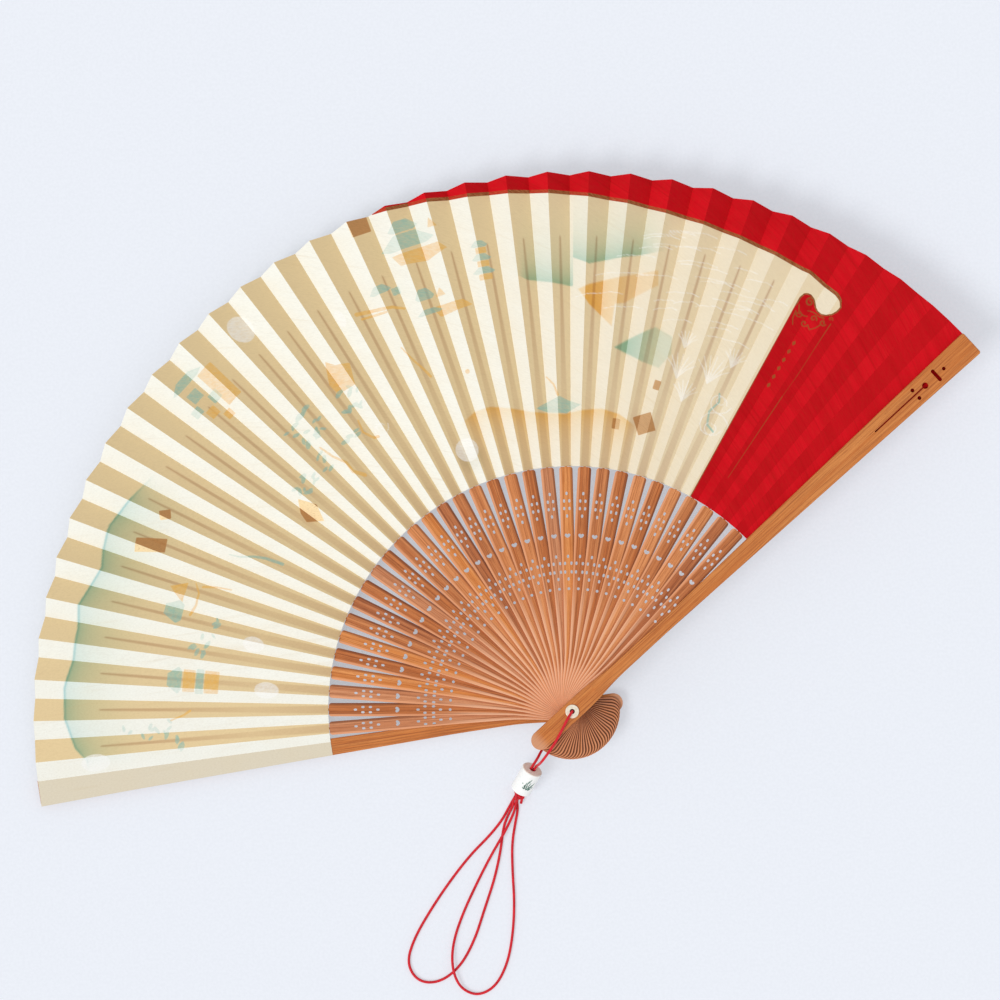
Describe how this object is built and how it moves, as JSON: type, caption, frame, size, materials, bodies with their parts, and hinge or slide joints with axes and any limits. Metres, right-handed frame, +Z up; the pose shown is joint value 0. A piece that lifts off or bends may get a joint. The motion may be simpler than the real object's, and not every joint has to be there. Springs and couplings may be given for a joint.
{
  "type": "hand fan",
  "caption": "Folding hand fan: pierced bamboo sticks turning on one eyelet, a pleated painted leaf between two guards, and a corded wrist loop with a ceramic bead.",
  "frame": {"origin": "on the pivot axis, at the height of the table that the open fan lies on", "axes": "+Z up along the pivot axis; the open leaf spreads in X and Y, with the back guard pointing towards -X and the front guard up and to the right"},
  "size_m": [0.3692, 0.3234, 0.025],
  "materials": {
    "guard_wood": "satin-oiled bamboo with dark grain",
    "rib_wood": "satin bamboo strips, each a slightly different brown",
    "leaf_cloth": "matt cream leaf, painted red towards the front guard and along the top edge",
    "eyelet_enamel": "cream enamelled eyelet",
    "bead_ceramic": "white glaze with a small green leaf sprig and bare clay ends",
    "cord_red": "braided red cord with a soft sheen"
  },
  "bodies": {
    "back_guard": {"back_guard": "guard_wood", "pivot_eyelet": "eyelet_enamel", "pivot_washer": "eyelet_enamel", "leaf_fold_00": "leaf_cloth", "strap_bead": "bead_ceramic", "strap_knot": "cord_red", "strap_neck": "cord_red", "strap_loop_left": "cord_red", "strap_loop_right": "cord_red"},
    "rib_01": {"rib_01": "rib_wood", "leaf_fold_01": "leaf_cloth"},
    "rib_02": {"rib_02": "rib_wood"},
    "rib_03": {"rib_03": "rib_wood", "leaf_fold_02": "leaf_cloth"},
    "rib_04": {"rib_04": "rib_wood"},
    "rib_05": {"rib_05": "rib_wood", "leaf_fold_03": "leaf_cloth"},
    "rib_06": {"rib_06": "rib_wood"},
    "rib_07": {"rib_07": "rib_wood", "leaf_fold_04": "leaf_cloth"},
    "rib_08": {"rib_08": "rib_wood"},
    "rib_09": {"rib_09": "rib_wood", "leaf_fold_05": "leaf_cloth"},
    "rib_10": {"rib_10": "rib_wood"},
    "rib_11": {"rib_11": "rib_wood", "leaf_fold_06": "leaf_cloth"},
    "rib_12": {"rib_12": "rib_wood"},
    "rib_13": {"rib_13": "rib_wood", "leaf_fold_07": "leaf_cloth"},
    "rib_14": {"rib_14": "rib_wood"},
    "rib_15": {"rib_15": "rib_wood", "leaf_fold_08": "leaf_cloth"},
    "rib_16": {"rib_16": "rib_wood"},
    "rib_17": {"rib_17": "rib_wood", "leaf_fold_09": "leaf_cloth"},
    "rib_18": {"rib_18": "rib_wood"},
    "rib_19": {"rib_19": "rib_wood", "leaf_fold_10": "leaf_cloth"},
    "rib_20": {"rib_20": "rib_wood"},
    "rib_21": {"rib_21": "rib_wood", "leaf_fold_11": "leaf_cloth"},
    "rib_22": {"rib_22": "rib_wood"},
    "rib_23": {"rib_23": "rib_wood", "leaf_fold_12": "leaf_cloth"},
    "rib_24": {"rib_24": "rib_wood"},
    "rib_25": {"rib_25": "rib_wood", "leaf_fold_13": "leaf_cloth"},
    "rib_26": {"rib_26": "rib_wood"},
    "rib_27": {"rib_27": "rib_wood", "leaf_fold_14": "leaf_cloth"},
    "rib_28": {"rib_28": "rib_wood"},
    "rib_29": {"rib_29": "rib_wood", "leaf_fold_15": "leaf_cloth"},
    "rib_30": {"rib_30": "rib_wood"},
    "rib_31": {"rib_31": "rib_wood", "leaf_fold_16": "leaf_cloth"},
    "rib_32": {"rib_32": "rib_wood"},
    "front_guard": {"front_guard": "guard_wood"}
  },
  "joints": [
    {"name": "fold_01", "type": "hinge", "parent": "back_guard", "child": "rib_01", "pos_m": [0, 0, 0], "axis": [0, 0, 1], "range_deg": [0, 4.43], "deforming": ["leaf_fold_00"]},
    {"name": "fold_02", "type": "hinge", "parent": "rib_01", "child": "rib_02", "pos_m": [0, 0, 0], "axis": [0, 0, 1], "range_deg": [0, 4.43], "deforming": ["leaf_fold_01"]},
    {"name": "fold_03", "type": "hinge", "parent": "rib_02", "child": "rib_03", "pos_m": [0, 0, 0], "axis": [0, 0, 1], "range_deg": [0, 4.43]},
    {"name": "fold_04", "type": "hinge", "parent": "rib_03", "child": "rib_04", "pos_m": [0, 0, 0], "axis": [0, 0, 1], "range_deg": [0, 4.43], "deforming": ["leaf_fold_02"]},
    {"name": "fold_05", "type": "hinge", "parent": "rib_04", "child": "rib_05", "pos_m": [0, 0, 0], "axis": [0, 0, 1], "range_deg": [0, 4.43]},
    {"name": "fold_06", "type": "hinge", "parent": "rib_05", "child": "rib_06", "pos_m": [0, 0, 0], "axis": [0, 0, 1], "range_deg": [0, 4.43], "deforming": ["leaf_fold_03"]},
    {"name": "fold_07", "type": "hinge", "parent": "rib_06", "child": "rib_07", "pos_m": [0, 0, 0], "axis": [0, 0, 1], "range_deg": [0, 4.43]},
    {"name": "fold_08", "type": "hinge", "parent": "rib_07", "child": "rib_08", "pos_m": [0, 0, 0], "axis": [0, 0, 1], "range_deg": [0, 4.43], "deforming": ["leaf_fold_04"]},
    {"name": "fold_09", "type": "hinge", "parent": "rib_08", "child": "rib_09", "pos_m": [0, 0, 0], "axis": [0, 0, 1], "range_deg": [0, 4.43]},
    {"name": "fold_10", "type": "hinge", "parent": "rib_09", "child": "rib_10", "pos_m": [0, 0, 0], "axis": [0, 0, 1], "range_deg": [0, 4.43], "deforming": ["leaf_fold_05"]},
    {"name": "fold_11", "type": "hinge", "parent": "rib_10", "child": "rib_11", "pos_m": [0, 0, 0], "axis": [0, 0, 1], "range_deg": [0, 4.43]},
    {"name": "fold_12", "type": "hinge", "parent": "rib_11", "child": "rib_12", "pos_m": [0, 0, 0], "axis": [0, 0, 1], "range_deg": [0, 4.43], "deforming": ["leaf_fold_06"]},
    {"name": "fold_13", "type": "hinge", "parent": "rib_12", "child": "rib_13", "pos_m": [0, 0, 0], "axis": [0, 0, 1], "range_deg": [0, 4.43]},
    {"name": "fold_14", "type": "hinge", "parent": "rib_13", "child": "rib_14", "pos_m": [0, 0, 0], "axis": [0, 0, 1], "range_deg": [0, 4.43], "deforming": ["leaf_fold_07"]},
    {"name": "fold_15", "type": "hinge", "parent": "rib_14", "child": "rib_15", "pos_m": [0, 0, 0], "axis": [0, 0, 1], "range_deg": [0, 4.43]},
    {"name": "fold_16", "type": "hinge", "parent": "rib_15", "child": "rib_16", "pos_m": [0, 0, 0], "axis": [0, 0, 1], "range_deg": [0, 4.43], "deforming": ["leaf_fold_08"]},
    {"name": "fold_17", "type": "hinge", "parent": "rib_16", "child": "rib_17", "pos_m": [0, 0, 0], "axis": [0, 0, 1], "range_deg": [0, 4.43]},
    {"name": "fold_18", "type": "hinge", "parent": "rib_17", "child": "rib_18", "pos_m": [0, 0, 0], "axis": [0, 0, 1], "range_deg": [0, 4.43], "deforming": ["leaf_fold_09"]},
    {"name": "fold_19", "type": "hinge", "parent": "rib_18", "child": "rib_19", "pos_m": [0, 0, 0], "axis": [0, 0, 1], "range_deg": [0, 4.43]},
    {"name": "fold_20", "type": "hinge", "parent": "rib_19", "child": "rib_20", "pos_m": [0, 0, 0], "axis": [0, 0, 1], "range_deg": [0, 4.43], "deforming": ["leaf_fold_10"]},
    {"name": "fold_21", "type": "hinge", "parent": "rib_20", "child": "rib_21", "pos_m": [0, 0, 0], "axis": [0, 0, 1], "range_deg": [0, 4.43]},
    {"name": "fold_22", "type": "hinge", "parent": "rib_21", "child": "rib_22", "pos_m": [0, 0, 0], "axis": [0, 0, 1], "range_deg": [0, 4.43], "deforming": ["leaf_fold_11"]},
    {"name": "fold_23", "type": "hinge", "parent": "rib_22", "child": "rib_23", "pos_m": [0, 0, 0], "axis": [0, 0, 1], "range_deg": [0, 4.43]},
    {"name": "fold_24", "type": "hinge", "parent": "rib_23", "child": "rib_24", "pos_m": [0, 0, 0], "axis": [0, 0, 1], "range_deg": [0, 4.43], "deforming": ["leaf_fold_12"]},
    {"name": "fold_25", "type": "hinge", "parent": "rib_24", "child": "rib_25", "pos_m": [0, 0, 0], "axis": [0, 0, 1], "range_deg": [0, 4.43]},
    {"name": "fold_26", "type": "hinge", "parent": "rib_25", "child": "rib_26", "pos_m": [0, 0, 0], "axis": [0, 0, 1], "range_deg": [0, 4.43], "deforming": ["leaf_fold_13"]},
    {"name": "fold_27", "type": "hinge", "parent": "rib_26", "child": "rib_27", "pos_m": [0, 0, 0], "axis": [0, 0, 1], "range_deg": [0, 4.43]},
    {"name": "fold_28", "type": "hinge", "parent": "rib_27", "child": "rib_28", "pos_m": [0, 0, 0], "axis": [0, 0, 1], "range_deg": [0, 4.43], "deforming": ["leaf_fold_14"]},
    {"name": "fold_29", "type": "hinge", "parent": "rib_28", "child": "rib_29", "pos_m": [0, 0, 0], "axis": [0, 0, 1], "range_deg": [0, 4.43]},
    {"name": "fold_30", "type": "hinge", "parent": "rib_29", "child": "rib_30", "pos_m": [0, 0, 0], "axis": [0, 0, 1], "range_deg": [0, 4.43], "deforming": ["leaf_fold_15"]},
    {"name": "fold_31", "type": "hinge", "parent": "rib_30", "child": "rib_31", "pos_m": [0, 0, 0], "axis": [0, 0, 1], "range_deg": [0, 4.43]},
    {"name": "fold_32", "type": "hinge", "parent": "rib_31", "child": "rib_32", "pos_m": [0, 0, 0], "axis": [0, 0, 1], "range_deg": [0, 4.43], "deforming": ["leaf_fold_16"]},
    {"name": "fold_33", "type": "hinge", "parent": "rib_32", "child": "front_guard", "pos_m": [0, 0, 0], "axis": [0, 0, 1], "range_deg": [0, 4.43]}
  ],
  "couplings": [
    {"joint": "fold_02", "follows": "fold_01", "ratio": 1},
    {"joint": "fold_03", "follows": "fold_01", "ratio": 1},
    {"joint": "fold_04", "follows": "fold_01", "ratio": 1},
    {"joint": "fold_05", "follows": "fold_01", "ratio": 1},
    {"joint": "fold_06", "follows": "fold_01", "ratio": 1},
    {"joint": "fold_07", "follows": "fold_01", "ratio": 1},
    {"joint": "fold_08", "follows": "fold_01", "ratio": 1},
    {"joint": "fold_09", "follows": "fold_01", "ratio": 1},
    {"joint": "fold_10", "follows": "fold_01", "ratio": 1},
    {"joint": "fold_11", "follows": "fold_01", "ratio": 1},
    {"joint": "fold_12", "follows": "fold_01", "ratio": 1},
    {"joint": "fold_13", "follows": "fold_01", "ratio": 1},
    {"joint": "fold_14", "follows": "fold_01", "ratio": 1},
    {"joint": "fold_15", "follows": "fold_01", "ratio": 1},
    {"joint": "fold_16", "follows": "fold_01", "ratio": 1},
    {"joint": "fold_17", "follows": "fold_01", "ratio": 1},
    {"joint": "fold_18", "follows": "fold_01", "ratio": 1},
    {"joint": "fold_19", "follows": "fold_01", "ratio": 1},
    {"joint": "fold_20", "follows": "fold_01", "ratio": 1},
    {"joint": "fold_21", "follows": "fold_01", "ratio": 1},
    {"joint": "fold_22", "follows": "fold_01", "ratio": 1},
    {"joint": "fold_23", "follows": "fold_01", "ratio": 1},
    {"joint": "fold_24", "follows": "fold_01", "ratio": 1},
    {"joint": "fold_25", "follows": "fold_01", "ratio": 1},
    {"joint": "fold_26", "follows": "fold_01", "ratio": 1},
    {"joint": "fold_27", "follows": "fold_01", "ratio": 1},
    {"joint": "fold_28", "follows": "fold_01", "ratio": 1},
    {"joint": "fold_29", "follows": "fold_01", "ratio": 1},
    {"joint": "fold_30", "follows": "fold_01", "ratio": 1},
    {"joint": "fold_31", "follows": "fold_01", "ratio": 1},
    {"joint": "fold_32", "follows": "fold_01", "ratio": 1},
    {"joint": "fold_33", "follows": "fold_01", "ratio": 1}
  ]
}
